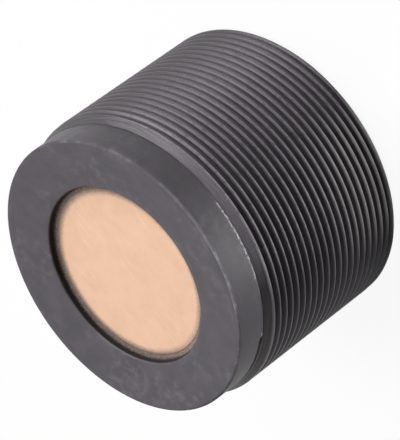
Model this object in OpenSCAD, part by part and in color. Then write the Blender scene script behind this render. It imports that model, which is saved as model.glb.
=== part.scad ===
// Ultrasonic sensor in a threaded sleeve, standing on its rear rim with the sensing face up.
// Z is the axis of the sensor: 0 at the rear rim, rising to the sensing face.

/* [Thread] */
// Major diameter of the outside thread
thread_d = 50; // [49:0.5:60]
// Pitch of the outside thread
thread_pitch = 1.5; // [1:0.25:2]
// Length of the smooth cone in front of the first turn
thread_lead_in = 1.35; // [0.8:0.05:2.5]
// Length of the chamfer behind the last turn
thread_run_out = 0.7; // [0.4:0.05:1.5]

/* [Sleeve] */
// Length of the threaded sleeve
sleeve_len = 32.25; // [31.5:0.25:60]
// Wall of the sleeve, from the root of the thread to the main bore
sleeve_wall = 2.58; // [2.2:0.02:3]
// Step by which the rear end is bored wider, as a seat for the rear cover
rear_step = 0.7; // [0.4:0.05:1.2]
// Depth from the rear rim to the outer face of the rear cover
rear_recess = 9.4; // [8.5:0.1:10]

/* [Front ring] */
// Length of the smooth front ring, ahead of the sleeve
ring_len = 5.75; // [5:0.25:12]
// Step from the root of the thread out to the skin of the front ring
ring_step = 0.02; // [0:0.02:0.2]
// Diameter of the opening that the sensing face looks out of
opening_d = 31.4; // [29.9:0.1:34]
// Thickness of the lip around the opening
lip_t = 3; // [2.2:0.1:4]
// Rounding of the outer front edge
ring_round = 0.4; // [0.3:0.05:1.2]
// Fall of the ring's face from its outer edge to the opening
face_dish = 0.65; // [0:0.05:1.2]
// Rounding of the edge of the opening
opening_round = 0.25; // [0.2:0.05:0.8]
// Rounding of the rear edge of the collar, at the parting line
parting_round = 0.15; // [0.05:0.05:0.3]
// Length along the axis of the notch in the rear edge of the collar
notch_len = 0.7; // [0.4:0.05:1.5]
// Depth of the notch
notch_depth = 0.4; // [0.2:0.05:0.8]
// Angle that the notch covers
notch_angle = 40; // [10:5:90]
// Length of the spigot that plugs into the sleeve
spigot_len = 8.25; // [6:0.25:9]
// Wall of the spigot
spigot_wall = 2; // [1.8:0.05:2.4]

/* [Transducer] */
// Diameter of the tan matching disc behind the lip of the ring
disc_d = 29.6; // [26:0.1:29.7]
// Slit between the front of the matching disc and the edge of the opening
face_slit = 0.9; // [0.25:0.05:1.2]
// Thickness of the matching disc, a quarter of a wavelength in it
disc_t = 5.2; // [4:0.1:6]
// Depth of the matching disc below the front of the ring
disc_recess = 1.85; // [1.4:0.05:2.5]
// Diameter of the piezo ceramic
piezo_d = 20; // [14:0.5:25]
// Thickness of the piezo ceramic
piezo_t = 4; // [2:0.1:4.6]
// Thickness of the foam behind the piezo ceramic
backing_t = 3.4; // [2:0.1:4]
// Thickness of the sheet that the transducer cup is drawn from
cup_wall = 0.35; // [0.2:0.05:0.5]
// Diameter of each transducer lead
lead_d = 0.6; // [0.4:0.05:0.8]

/* [Circuit boards] */
// Thickness of both circuit boards
board_t = 1.2; // [0.8:0.1:1.6]
// Room between the transducer cup and the front board
lead_room = 1.8; // [1.2:0.1:2.2]
// Wall of the carrier that holds the boards
carrier_wall = 1.5; // [1.2:0.05:1.8]
// Height of the carrier's ledges
ledge_t = 1; // [0.8:0.1:1.2]
// Width of the carrier's ledges
ledge_w = 1.2; // [0.8:0.1:1.6]
// Height of the drive transformer
transformer_h = 3.6; // [2.5:0.1:3.8]
// Diameter of the drive transformer
transformer_d = 8.4; // [7:0.1:9]

/* [Rear end] */
// Thickness of the rear cover
cover_t = 2.6; // [2.2:0.1:3]
// Thickness of the potting between the rear cover and the rear board
potting_t = 1.6; // [1.5:0.1:2]
// Diameter of the status light guide
guide_d = 3; // [2:0.1:4]
// Distance of the status light guide from the axis
guide_out = 14; // [12:0.5:15]

/* [Connector] */
// Major diameter of the connector thread
plug_d = 12; // [12:0.5:14]
// Pitch of the connector thread
plug_pitch = 1; // [0.75:0.25:1.25]
// Depth of the tip of the connector below the rear rim
plug_recess = 0.85; // [0.3:0.05:2]
// Bore of the connector
plug_bore = 8.6; // [8.4:0.1:9]
// Diameter of the contact pins
pin_d = 1; // [0.8:0.05:1.1]
// Diameter of the circle of contact pins
pin_circle_d = 5; // [4.6:0.1:5.4]

/* [Fits] */
// Radial gap of a piece that slides into another
slide_gap = 0.1; // [0.05:0.01:0.2]
// Gap round a piece that is bedded in foam or potting
bed_gap = 0.05; // [0.02:0.01:0.1]
// Radial gap of a pin or lead in its hole
hole_gap = 0.1; // [0.05:0.01:0.2]
// Thickness of the seal rings
seal_t = 0.98; // [0.9:0.02:1.1]
// Gap between a seal ring and the floor of its groove
seal_gap = 0.02; // [0.01:0.01:0.05]

/* [Hidden] */
$fn = 96;
over = 0.01;

// Metric thread form with 60 degree flanks
thread_depth_share = 0.6134;
crest_share = 1 / 8;
thread_r = thread_d / 2;
thread_root_r = thread_r - thread_pitch * thread_depth_share;
chamfer_step = 0.8;

// Radii, from the thread inwards
ring_r = thread_root_r + ring_step;
bore_r = thread_root_r - sleeve_wall;
rear_bore_r = bore_r + rear_step;
spigot_r = bore_r - slide_gap;
cup_space_r = spigot_r - spigot_wall;
cup_r = cup_space_r - slide_gap;
foam_r = cup_r - cup_wall - bed_gap;
opening_r = opening_d / 2;
disc_r = disc_d / 2;
disc_front_r = opening_r - face_slit;
piezo_r = piezo_d / 2;
cover_r = rear_bore_r - slide_gap;
carrier_r = bore_r - slide_gap;
board_space_r = carrier_r - carrier_wall;
board_r = board_space_r - slide_gap;
ledge_r = board_space_r - ledge_w;

// Shoulder of the disc below the lip of the ring, and foam lip in the slit round its front
disc_shoulder_drop = 0.3;
foam_lip_drop = 0.1;

// Heights, from the sensing face down
face_z = sleeve_len + ring_len;
lip_z = face_z - lip_t;
disc_top_z = face_z - disc_recess;
disc_z = disc_top_z - disc_t;
disc_shoulder_z = lip_z - disc_shoulder_drop;
piezo_z = disc_z - piezo_t;
foam_z = piezo_z - backing_t;
cup_z = foam_z - cup_wall;
front_board_top_z = cup_z - lead_room;
front_board_z = front_board_top_z - board_t;
spigot_z = sleeve_len - spigot_len;

// Heights, from the rear rim up
cover_z = rear_recess;
cover_top_z = cover_z + cover_t;
rear_board_z = cover_top_z + potting_t;
rear_board_top_z = rear_board_z + board_t;

// Seal rings and their grooves
seal_r = seal_t / 2;
groove_depth = seal_t + seal_gap - slide_gap;
groove_w = seal_t + 0.3;
ring_groove_z = sleeve_len - 1.4 - groove_w / 2;
cover_groove_z = cover_z + cover_t / 2;

// Angle at which the notch in the collar starts
notch_start = 173;

// Leads of the transducer, through the cup to the front board
lead_x = 4;
lead_solder_r = 1;
lead_solder_t = 0.3;
lead_tail = 0.6;
cup_hole_r = lead_d / 2 + 0.5;

// Key that turns the boards to their place in the carrier
key_w = 2.8;
key_depth = 1;

// Boss round the connector on the rear cover
boss_h = 0.5;
boss_w = 3;

// Connector
plug_r = plug_d / 2;
plug_bore_r = plug_bore / 2;
plug_z = plug_recess;
plug_relief = 1.5;
plug_thread_end_z = cover_z - plug_relief;
plug_shoulder = 0.4;
plug_shank_r = plug_r + 0.25;
plug_flange_r = plug_r + 2.2;
plug_flange_t = 1.2;
plug_tip_chamfer = 0.5;
insert_r = plug_bore_r + 0.45;
insert_face_z = cover_z - 0.4;
pin_r = pin_d / 2;
pin_drop = 1.5;
pin_tail = 0.8;
key_rib_w = 1.1;
key_rib_depth = 0.5;

// Header that joins the boards, set in from the ledges
header_pitch = 2.54;
header_count = 5;
header_len = header_count * header_pitch;
header_w = 2.5;
header_h = 2.5;
header_room = 1.44;
header_y = header_w / 2 - sqrt(pow(ledge_r - header_room, 2) - pow(header_len / 2, 2));
header_pin_w = 0.64;
header_tail = 0.6;
header_hole_r = header_pin_w * sqrt(2) / 2 + hole_gap;

// Chips under the front board: place of the middle, then size
chip_standoff = 0.1;
controller_at = [0, 8.5];
controller_size = [7, 7, 1.3];
controller_pitch = 0.8;
controller_reach = 0.9;
amplifier_at = [10.5, 3];
amplifier_size = [4, 5, 1.3];
amplifier_pitch = 1.27;
amplifier_reach = 1;
chip_lead_w = 0.35;
chip_lead_t = 0.15;
resistor_size = [1.25, 2, 0.5];
resistor_pitch = 2.6;
resistor_y = -8.5;
sensor_size = [2, 1.25, 0.9];
sensor_room = 5.8;
sensor_y = board_r - sensor_room;

// Parts on the rear board: place of the middle, then size
transformer_at = [-10.5, 4];
core_post_r = 1.6;
core_flange_t = 0.8;
winding_inset = 0.5;
tantalum_at = [10.5, 4];
tantalum_size = [3.5, 2.8, 1.9];
tantalum_pitch = 4;
capacitor_size = [2, 1.25, 0.7];
capacitor_pitch = 3.2;
capacitor_y = -9.5;
regulator_at = [-1, 9.5];
regulator_size = [4.5, 2.5, 1.5];
transistor_at = [6.5, -5];
transistor_size = [2.9, 1.3, 1.1];

// Light guide and the light under it
guide_r = guide_d / 2;
guide_flange_w = 0.6;
guide_flange_t = 0.6;
guide_sink = 0.15;
led_size = [1.6, 0.8, 0.6];
led_room = 0.1;

// Points of a metric thread, from z_low up to z_high at its major radius
function thread_points(r, pitch, z_low, z_high) =
    let (
        depth = pitch * thread_depth_share,
        flank = depth * tan(30),
        crest = pitch * crest_share,
        turns = floor((z_high - z_low - crest + over) / pitch)
    )
    [
        for (i = [turns:-1:1], step = [0:3])
            let (top = z_high - i * pitch)
            step == 0 ? [r, top] :
            step == 1 ? [r - depth, top + flank] :
            step == 2 ? [r - depth, top + pitch - crest - flank] :
            [r, top + pitch - crest]
    ];

// A round bar or bore of radius r between two heights
module bar(r, z_low, z_high) {
    translate([0, 0, z_low]) cylinder(r = r, h = z_high - z_low);
}

// A tube between two radii and two heights
module tube(r_in, r_out, z_low, z_high) {
    rotate_extrude() translate([r_in, z_low]) square([r_out - r_in, z_high - z_low]);
}

// What a rounding of radius r takes off a corner at the origin that points to +X +Y
module corner_waste(r) {
    difference() {
        translate([-r, -r]) square(r + over);
        translate([-r, -r]) circle(r = r);
    }
}

// A seal ring of round section about the axis
module seal_ring(r, z) {
    rotate_extrude() translate([r, z]) circle(r = seal_r, $fn = 48);
}

// A small block with its middle at a place and a flat foot at height z, standing up or hanging down
module chip(at, size, z, up = true) {
    translate([at[0] - size[0] / 2, at[1] - size[1] / 2, up ? z : z - size[2]]) cube(size);
}

// Places of the contact pins: four on a circle and one in the middle
module at_pins() {
    children();
    for (turn = [45:90:315])
        rotate(turn) translate([pin_circle_d / 2, 0, 0]) rotate(-turn) children();
}

// Places of the header pins
module at_header() {
    for (i = [0:header_count - 1])
        translate([(i - (header_count - 1) / 2) * header_pitch, header_y, 0]) children();
}

// Places of the two transducer leads
module at_leads() {
    for (side = [-1, 1])
        translate([side * lead_x, 0, 0]) children();
}

// The slot for the carrier's key, cut in the edge of a board
module key_slot(z_low, z_high) {
    translate([-key_w / 2 - slide_gap, board_space_r - key_depth - slide_gap, z_low])
        cube([key_w + 2 * slide_gap, key_depth + 1, z_high - z_low]);
}

// Threaded outer sleeve, open at both ends
module threaded_sleeve() {
    inner_chamfer = 0.4;
    color("#4a494b") rotate_extrude() polygon(concat(
        [
            [rear_bore_r + inner_chamfer, 0],
            [thread_r - chamfer_step, 0],
            [thread_r, thread_run_out]
        ],
        thread_points(thread_r, thread_pitch, thread_run_out, sleeve_len - thread_lead_in),
        [
            [thread_r, sleeve_len - thread_lead_in],
            [ring_r, sleeve_len],
            [bore_r + inner_chamfer, sleeve_len],
            [bore_r, sleeve_len - inner_chamfer],
            [bore_r, cover_top_z],
            [rear_bore_r, cover_top_z],
            [rear_bore_r, inner_chamfer]
        ]
    ));
}

// What the dished face and the rounding of the opening take off the lip
module dish_waste() {
    tilt = atan(face_dish / (ring_r - ring_round - opening_r));
    round_r = opening_r + opening_round;
    round_z = face_z - face_dish + opening_round * (tan(tilt) - 1 / cos(tilt));
    difference() {
        polygon([
            [opening_r - over, round_z],
            [round_r, round_z],
            [round_r - opening_round * sin(tilt), round_z + opening_round * cos(tilt)],
            [ring_r - ring_round, face_z],
            [ring_r - ring_round, face_z + over],
            [opening_r - over, face_z + over]
        ]);
        translate([round_r, round_z]) circle(r = opening_round);
    }
}

// Half section of the front ring, with its lip, its roundings and its seal groove
module ring_section() {
    spigot_chamfer = 0.5;
    difference() {
        union() {
            translate([opening_r, lip_z]) square([ring_r - opening_r, lip_t]);
            translate([cup_space_r, sleeve_len])
                square([ring_r - cup_space_r, lip_z + over - sleeve_len]);
            translate([cup_space_r, spigot_z])
                square([spigot_r - cup_space_r, sleeve_len + over - spigot_z]);
        }
        translate([ring_r, face_z]) corner_waste(ring_round);
        dish_waste();
        translate([ring_r, sleeve_len]) mirror([0, 1]) corner_waste(parting_round);
        translate([spigot_r - groove_depth, ring_groove_z - groove_w / 2])
            square([groove_depth + over, groove_w]);
        polygon([
            [spigot_r + over, spigot_z - over],
            [spigot_r + over, spigot_z + spigot_chamfer],
            [spigot_r - spigot_chamfer, spigot_z - over]
        ]);
    }
}

// Smooth front ring that plugs into the sleeve, with a notch in the rear edge of its collar
module front_ring() {
    color("#504e4f") difference() {
        rotate_extrude() ring_section();
        rotate(notch_start) rotate_extrude(angle = notch_angle)
            translate([ring_r - notch_depth, sleeve_len - over])
                square([notch_depth + over, notch_len + over]);
    }
}

// Seal ring between the spigot and the sleeve
module ring_seal() {
    color("#1c1c1c") seal_ring(bore_r - seal_r - seal_gap / 2, ring_groove_z);
}

// Tan disc of glass-filled resin that passes the sound into the air, its front fitted to the opening
module face_disc() {
    edge = 0.2;
    color("#e6bf9c") {
        bar(disc_r, disc_z, disc_shoulder_z);
        rotate_extrude() polygon([
            [0, disc_shoulder_z - over],
            [disc_front_r, disc_shoulder_z - over],
            [disc_front_r, disc_top_z - edge],
            [disc_front_r - edge, disc_top_z],
            [0, disc_top_z]
        ]);
    }
}

// Soft foam between the disc, the cup and the lip of the ring, with a thin lip up into the slit
module decoupling_foam() {
    color("#3a302b") difference() {
        union() {
            bar(foam_r, foam_z, lip_z);
            bar(opening_r - bed_gap, lip_z - over, disc_top_z - foam_lip_drop);
        }
        bar(disc_r + bed_gap, foam_z - over, disc_shoulder_z + bed_gap);
        bar(disc_front_r + bed_gap, disc_shoulder_z - bed_gap, disc_top_z);
    }
}

// Piezo ceramic that makes the sound and hears the echo
module piezo_disc() {
    color("#c9c5b4") bar(piezo_r, piezo_z, disc_z);
}

// Damping foam behind and round the piezo ceramic
module backing_foam() {
    color("#6b6258") difference() {
        bar(disc_r, foam_z, disc_z);
        bar(piezo_r + bed_gap, piezo_z, disc_z + over);
        at_leads() bar(lead_d / 2 + bed_gap, foam_z - over, piezo_z + over);
        at_leads() bar(lead_solder_r + bed_gap, piezo_z - lead_solder_t - bed_gap, piezo_z + over);
    }
}

// Drawn metal cup that screens the transducer and locates it in the ring
module transducer_cup() {
    color("#c8c8c4") difference() {
        bar(cup_r, cup_z, lip_z);
        bar(cup_r - cup_wall, foam_z, lip_z + over);
        at_leads() bar(cup_hole_r, cup_z - over, foam_z + over);
    }
}

// Two leads from the piezo ceramic to the front board
module transducer_leads() {
    color("#b8432f") at_leads() {
        bar(lead_d / 2, front_board_z - lead_tail, piezo_z);
        bar(lead_solder_r, piezo_z - lead_solder_t, piezo_z);
    }
}

// Bead that reads the air temperature to correct the speed of sound
module temperature_sensor() {
    color("#2c3a2e") chip([0, sensor_y], sensor_size, front_board_top_z);
}

// Circuit board of either end, with its holes and key slot
module board(z) {
    difference() {
        bar(board_r, z, z + board_t);
        key_slot(z - over, z + board_t + over);
        at_header() bar(header_hole_r, z - over, z + board_t + over);
        children();
    }
}

// Front circuit board, which drives the transducer and reads the echo
module front_board() {
    color("#2f6b45") board(front_board_z)
        at_leads() bar(lead_d / 2 + hole_gap, front_board_z - over, front_board_top_z + over);
}

// Chip with flat leads along two sides, hung under the front board
module leaded_chip(at, size, count, pitch, reach) {
    chip(at, size, front_board_z - chip_standoff, false);
    for (i = [0:count - 1])
        translate([0, (i - (count - 1) / 2) * pitch, 0])
            chip(at, [size[0] + 2 * reach, chip_lead_w, chip_lead_t], front_board_z, false);
}

// Controller that times the echo
module controller_chip() {
    color("#26262a") leaded_chip(controller_at, controller_size, 8, controller_pitch, controller_reach);
}

// Amplifier for the echo
module echo_amplifier() {
    color("#2b2b2f") leaded_chip(amplifier_at, amplifier_size, 4, amplifier_pitch, amplifier_reach);
}

// Row of chip resistors under the front board
module chip_resistors() {
    color("#1f2226") for (i = [-3:3])
        chip([i * resistor_pitch, resistor_y], resistor_size, front_board_z, false);
}

// Tube that holds both boards on its ledges, between the rear cover and the front ring
module board_carrier() {
    color("#8b8d8a") {
        tube(board_space_r, carrier_r, cover_top_z, spigot_z);
        tube(ledge_r, board_space_r + over, rear_board_top_z, rear_board_top_z + ledge_t);
        tube(ledge_r, board_space_r + over, front_board_z - ledge_t, front_board_z);
        intersection() {
            bar(carrier_r - over, cover_top_z, front_board_top_z);
            translate([-key_w / 2, board_space_r - key_depth, cover_top_z])
                cube([key_w, carrier_wall + key_depth, front_board_top_z - cover_top_z]);
        }
    }
}

// Rear circuit board, with the supply, the output and the connector
module rear_board() {
    color("#2f6b45") board(rear_board_z)
        at_pins() bar(pin_r + hole_gap, rear_board_z - over, rear_board_top_z + over);
}

// Ferrite drum of the drive transformer
module transformer_core() {
    color("#3c3c40") translate([transformer_at[0], transformer_at[1], rear_board_top_z]) {
        bar(transformer_d / 2, 0, core_flange_t);
        bar(core_post_r, 0, transformer_h);
        bar(transformer_d / 2, transformer_h - core_flange_t, transformer_h);
    }
}

// Copper winding on the drum
module transformer_winding() {
    color("#b5652e") translate([transformer_at[0], transformer_at[1], rear_board_top_z])
        tube(core_post_r + bed_gap, transformer_d / 2 - winding_inset, core_flange_t + bed_gap,
            transformer_h - core_flange_t - bed_gap);
}

// Tantalum capacitors of the supply
module tantalum_capacitors() {
    color("#c98a2b") for (i = [-1:1])
        chip([tantalum_at[0], tantalum_at[1] + i * tantalum_pitch], tantalum_size, rear_board_top_z);
}

// Row of chip capacitors on the rear board
module chip_capacitors() {
    color("#a98f6a") for (i = [-2:2])
        chip([i * capacitor_pitch, capacitor_y], capacitor_size, rear_board_top_z);
}

// Voltage regulator
module voltage_regulator() {
    color("#28282c") chip(regulator_at, regulator_size, rear_board_top_z);
}

// Transistor that switches the output
module output_transistor() {
    color("#2a2a2e") chip(transistor_at, transistor_size, rear_board_top_z);
}

// Plastic strip of the header
module header_strip() {
    color("#202022") difference() {
        chip([0, header_y], [header_len, header_w, header_h], rear_board_top_z);
        at_header() bar(header_hole_r, rear_board_top_z - over, rear_board_top_z + header_h + over);
    }
}

// Square pins that join the boards
module header_pins() {
    height = front_board_top_z + header_tail - rear_board_z;
    color("#d9b84a") at_header() chip([0, 0], [header_pin_w, header_pin_w, height], rear_board_z);
}

// Status light under the light guide
module status_led() {
    color("#f2e9a0") chip([0, guide_out], led_size, rear_board_z, false);
}

// Clear light guide through the rear cover
module light_guide() {
    color("#d8e6d0") translate([0, guide_out, 0]) {
        bar(guide_r, cover_z - guide_sink, rear_board_z - led_size[2] - led_room);
        bar(guide_r + guide_flange_w, cover_top_z, cover_top_z + guide_flange_t);
    }
}

// Layer of potting that seals the back of the rear board
module potting() {
    led_pocket = [led_size[0] + 2 * bed_gap, led_size[1] + 2 * bed_gap, potting_t];
    color("#2b2723") difference() {
        bar(board_r, cover_top_z, rear_board_z);
        bar(plug_flange_r + bed_gap, cover_top_z - over, rear_board_z + over);
        key_slot(cover_top_z - over, rear_board_z + over);
        translate([0, guide_out, 0])
            bar(guide_r + guide_flange_w + bed_gap, cover_top_z - over,
                rear_board_z - led_size[2] - led_room);
        chip([0, guide_out], led_pocket, rear_board_z + over, false);
    }
}

// Moulded cover that closes the rear of the sleeve
module rear_cover() {
    hole_r = plug_shank_r + slide_gap;
    boss_r = plug_r + boss_w;
    edge = 0.4;
    seal_pocket_r = hole_r + seal_t + seal_gap;
    color("#49484a") difference() {
        rotate_extrude() difference() {
            union() {
                translate([hole_r, cover_z]) square([cover_r - hole_r, cover_t]);
                translate([hole_r, cover_z - boss_h]) square([boss_r - hole_r, boss_h + over]);
            }
            translate([cover_r - groove_depth, cover_groove_z - groove_w / 2])
                square([groove_depth + over, groove_w]);
            translate([plug_r, cover_top_z - seal_t])
                square([seal_pocket_r - plug_r, seal_t + over]);
            translate([cover_r, cover_z]) mirror([0, 1]) corner_waste(edge);
            translate([boss_r, cover_z - boss_h]) mirror([0, 1]) corner_waste(edge / 2);
        }
        translate([0, guide_out, 0]) bar(guide_r + bed_gap, cover_z - over, cover_top_z + over);
    }
}

// Seal ring between the rear cover and the sleeve
module cover_seal() {
    color("#1c1c1c") seal_ring(rear_bore_r - seal_r - seal_gap / 2, cover_groove_z);
}

// Plated metal shell of the connector, with its outside thread and its flange
module connector_shell() {
    neck_r = plug_r - plug_pitch * thread_depth_share;
    thread_top_z = plug_thread_end_z - plug_shoulder;
    shank_z = cover_z - boss_h;
    color("#b9b6ae") {
        rotate_extrude() polygon(concat(
            [
                [plug_bore_r, plug_z],
                [plug_r - plug_tip_chamfer, plug_z],
                [plug_r, plug_z + plug_tip_chamfer]
            ],
            thread_points(plug_r, plug_pitch, plug_z + plug_tip_chamfer, thread_top_z),
            [
                [plug_r, thread_top_z],
                [neck_r, plug_thread_end_z],
                [neck_r, shank_z],
                [plug_shank_r, shank_z],
                [plug_shank_r, cover_top_z],
                [plug_flange_r, cover_top_z],
                [plug_flange_r, cover_top_z + plug_flange_t],
                [insert_r + bed_gap, cover_top_z + plug_flange_t],
                [insert_r + bed_gap, insert_face_z],
                [plug_bore_r, insert_face_z]
            ]
        ));
        translate([plug_bore_r - key_rib_depth, -key_rib_w / 2, plug_z + plug_tip_chamfer])
            cube([key_rib_depth + 0.3, key_rib_w, insert_face_z - plug_z - plug_tip_chamfer]);
    }
}

// Seal ring under the flange of the connector
module connector_seal() {
    color("#1c1c1c") seal_ring(plug_shank_r + slide_gap + seal_r, cover_top_z - seal_t / 2);
}

// Insulating insert that holds the contact pins
module contact_insert() {
    color("#26272a") difference() {
        bar(insert_r, insert_face_z, rear_board_z);
        at_pins() bar(pin_r + bed_gap, insert_face_z - over, rear_board_z + over);
    }
}

// Five contact pins, through the insert and the rear board
module contact_pins() {
    color("#d2b35a") at_pins() {
        bar(pin_r, plug_z + pin_drop + pin_r, rear_board_top_z + pin_tail);
        translate([0, 0, plug_z + pin_drop + pin_r]) sphere(r = pin_r, $fn = 32);
    }
}

threaded_sleeve();
front_ring();
ring_seal();
face_disc();
decoupling_foam();
piezo_disc();
backing_foam();
transducer_cup();
transducer_leads();
temperature_sensor();
front_board();
controller_chip();
echo_amplifier();
chip_resistors();
board_carrier();
rear_board();
transformer_core();
transformer_winding();
tantalum_capacitors();
chip_capacitors();
voltage_regulator();
output_transistor();
header_strip();
header_pins();
status_led();
light_guide();
potting();
rear_cover();
cover_seal();
connector_shell();
connector_seal();
contact_insert();
contact_pins();
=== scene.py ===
"""Looks of an ultrasonic sensor in a threaded sleeve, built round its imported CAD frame.

Lengths inside the script are millimetres, and turn into metres where a mesh is made.
Z is the axis of the sensor: 0 at the rear rim, rising to the sensing face.
"""

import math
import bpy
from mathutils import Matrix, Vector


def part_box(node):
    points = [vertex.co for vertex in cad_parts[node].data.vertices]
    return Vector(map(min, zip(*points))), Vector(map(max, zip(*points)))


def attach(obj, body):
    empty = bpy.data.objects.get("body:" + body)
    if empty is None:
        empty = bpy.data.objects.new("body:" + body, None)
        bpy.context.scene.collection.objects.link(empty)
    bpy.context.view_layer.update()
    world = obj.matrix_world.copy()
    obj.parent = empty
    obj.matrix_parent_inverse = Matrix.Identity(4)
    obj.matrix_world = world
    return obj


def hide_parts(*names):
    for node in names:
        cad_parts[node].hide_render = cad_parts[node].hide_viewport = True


bl_info = {
    "name": "Ultrasonic sensor looks",
    "version": (1, 0, 0),
    "blender": (4, 5, 0),
    "location": "View3D > Sidebar > Sensor",
    "description": "Threads, ring, sensing face, foam, winding and finishes of an ultrasonic sensor",
    "category": "Mesh",
}

import bmesh
import bpy
import numpy as np
from bpy.props import FloatProperty, FloatVectorProperty, IntProperty, PointerProperty
from mathutils import Matrix, Vector

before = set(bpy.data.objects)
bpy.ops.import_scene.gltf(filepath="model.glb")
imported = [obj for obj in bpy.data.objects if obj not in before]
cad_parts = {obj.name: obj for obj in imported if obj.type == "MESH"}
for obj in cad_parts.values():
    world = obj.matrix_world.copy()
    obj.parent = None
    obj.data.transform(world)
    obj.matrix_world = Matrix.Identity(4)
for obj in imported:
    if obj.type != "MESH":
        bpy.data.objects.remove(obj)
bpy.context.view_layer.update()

MM = 0.001
BODY = "root"
MERGE_MM = 0.0015
SMOOTH_ROUNDS = 4
SHARP_ANGLE = math.radians(38)
TURN = 2 * math.pi


def node_box(node):
    """Lowest and highest corner of a CAD node, in millimetres."""
    low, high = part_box(node)
    return np.array(low) / MM, np.array(high) / MM


# Boxes of the CAD nodes that the pieces replace or fit
SLEEVE_BOX = node_box("threaded_sleeve")
RING_BOX = node_box("front_ring")
DISC_BOX = node_box("face_disc")
FOAM_BOX = node_box("decoupling_foam")
PLUG_BOX = node_box("connector_shell")
COVER_BOX = node_box("rear_cover")
WINDING_BOX = node_box("transformer_winding")


def srgb(red, green, blue):
    """A colour given as it shows on a screen, 0 to 255, as Blender's linear values."""
    c = np.array([red, green, blue]) / 255
    return tuple(np.where(c <= 0.04045, c / 12.92, ((c + 0.055) / 1.055) ** 2.4))


# Sizes and colours that a user would change


def length_mm(name, description, default, low, high):
    """A length in millimetres that a user can set."""
    return FloatProperty(name=name, description=description, default=default, min=low, max=high)


def colour_of(name, description, default):
    """A colour that a user can set."""
    return FloatVectorProperty(name=name, description=description, default=default, subtype="COLOR",
                               size=3, min=0, max=1)


def count_of(name, description, default, low, high):
    """A whole number that a user can set."""
    return IntProperty(name=name, description=description, default=default, min=low, max=high)


class SleeveSizes(bpy.types.PropertyGroup):
    """Sizes of the thread on the sleeve."""

    pitch: length_mm("Pitch", "Pitch of the sleeve's thread, in mm", 1.5, 0.5, 3)
    crest_z: length_mm("First crest", "Height of the first crest on the -Y side, in mm", 30.83, 20, 32)
    columns: count_of("Columns", "Steps round one turn of the sleeve", 256, 64, 360)
    fade: FloatProperty(name="Groove start", description="Turn over which the groove deepens",
                        default=math.radians(40), min=0.1, max=3, subtype="ANGLE", unit="ROTATION")


class RingSizes(bpy.types.PropertyGroup):
    """Sizes of the front ring."""

    edge: length_mm("Front edge", "Rounding of the outer front edge, in mm", 0.4, 0.2, 1.2)
    opening: length_mm("Opening", "Radius of the opening, in mm", 15.7, 14, 17)
    opening_edge: length_mm("Opening edge", "Rounding of the edge of the opening, in mm", 0.25, 0.1, 0.8)
    dish: length_mm("Dish", "Fall of the face from its outer edge to the opening, in mm", 0.65, 0, 1.2)
    rear_edge: length_mm("Rear edge", "Rounding of the rear edge of the collar, in mm", 0.15, 0.05, 0.3)
    notch: length_mm("Notch", "Length of the notch in the rear edge, in mm", 0.7, 0.2, 1.5)
    columns: count_of("Columns", "Steps round one turn of the ring", 256, 64, 360)


class FaceSizes(bpy.types.PropertyGroup):
    """Sizes of the sensing face and its foam."""

    edge: length_mm("Disc edge", "Rounding of the edge of the disc, in mm", 0.1, 0.05, 0.6)
    # Top of the foam sheet up the opening, which carries painted shade
    shade_sheet_top: length_mm("Lining", "Height that the foam's skin reaches up the opening, in mm", 37.15, 36, 37.2)
    cell: length_mm("Cell", "Grid of the backing foam's surface, in mm", 0.4, 0.2, 1)
    foam_drop: length_mm("Foam drop", "How far the foam lies below the disc, in mm", 0.03, 0, 0.5)
    columns: count_of("Columns", "Steps round one turn of the face", 192, 64, 360)


class RearSizes(bpy.types.PropertyGroup):
    """Sizes of the connector and the winding."""

    plug_pitch: length_mm("Plug pitch", "Pitch of the connector's thread, in mm", 1, 0.5, 2)
    wire: length_mm("Wire", "Diameter of the winding's wire, in mm", 0.25, 0.1, 0.6)
    columns: count_of("Columns", "Steps round one turn of the connector", 128, 48, 256)


class Colours(bpy.types.PropertyGroup):
    """Colours of the parts that show."""

    sleeve: colour_of("Sleeve", "Dark grey plastic of the sleeve", srgb(62, 57, 63))
    # Colour in the groove of the thread: painted shade
    groove: colour_of("Groove", "Depth of the sleeve's thread", srgb(44, 41, 44))
    # Colour of the lighter crests: wear and painted highlight. It also tints the turned grain of the cone.
    crest: colour_of("Crest", "Worn crest of the sleeve's thread", srgb(108, 104, 109))
    ring: colour_of("Ring", "Dark grey plastic of the front ring", srgb(65, 60, 67))
    disc: colour_of("Disc", "Tan matching disc", srgb(224, 183, 154))
    disc_rim: colour_of("Disc rim", "Brown edge of the matching disc", srgb(116, 98, 88))
    foam: colour_of("Foam", "Brown foam round the disc", srgb(110, 94, 88))
    floor: colour_of("Floor", "Pale floor", srgb(236, 236, 236))


class SensorSettings(bpy.types.PropertyGroup):
    """All sizes and colours."""

    sleeve: PointerProperty(type=SleeveSizes)
    ring: PointerProperty(type=RingSizes)
    face: PointerProperty(type=FaceSizes)
    rear: PointerProperty(type=RearSizes)
    colours: PointerProperty(type=Colours)


# Shader maths


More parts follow.
